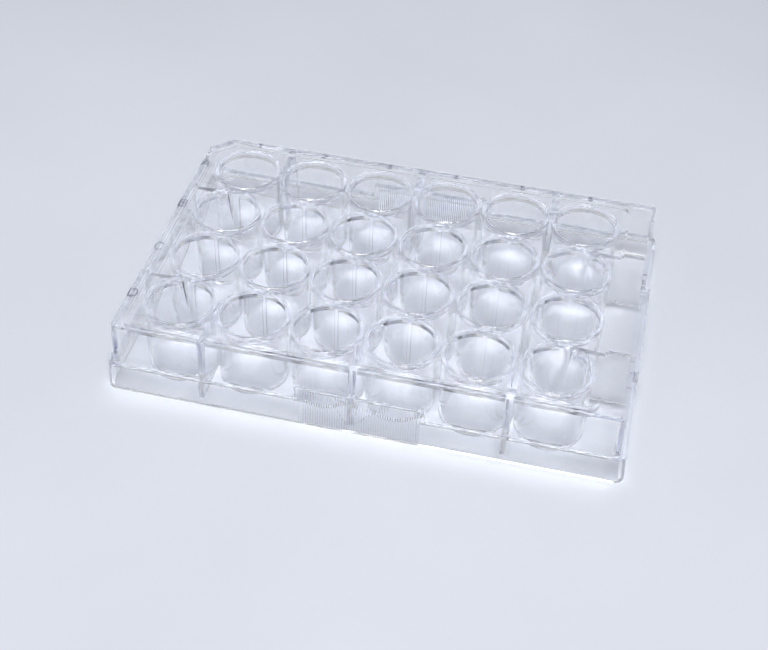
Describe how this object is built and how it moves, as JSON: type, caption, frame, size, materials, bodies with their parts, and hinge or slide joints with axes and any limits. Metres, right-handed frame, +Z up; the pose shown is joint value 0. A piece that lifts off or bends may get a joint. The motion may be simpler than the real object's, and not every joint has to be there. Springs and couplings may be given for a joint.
{
  "type": "well plate",
  "caption": "Clear one-piece culture plate: rows and columns of round drafted wells hung from a sunken deck, a stepped skirt with ribbed grip pads, one cut corner.",
  "frame": {"origin": "middle of the footprint, on the bench", "axes": "+X along a row, from column 1 towards column 6; +Y along a column, from row D towards row A; +Z up"},
  "size_m": [0.1278, 0.0854, 0.0192],
  "materials": {
    "clear_polystyrene": "clear, polished mould, slight violet-blue edge tint"
  },
  "bodies": {
    "root": {"plate": "clear_polystyrene"}
  },
  "joints": []
}
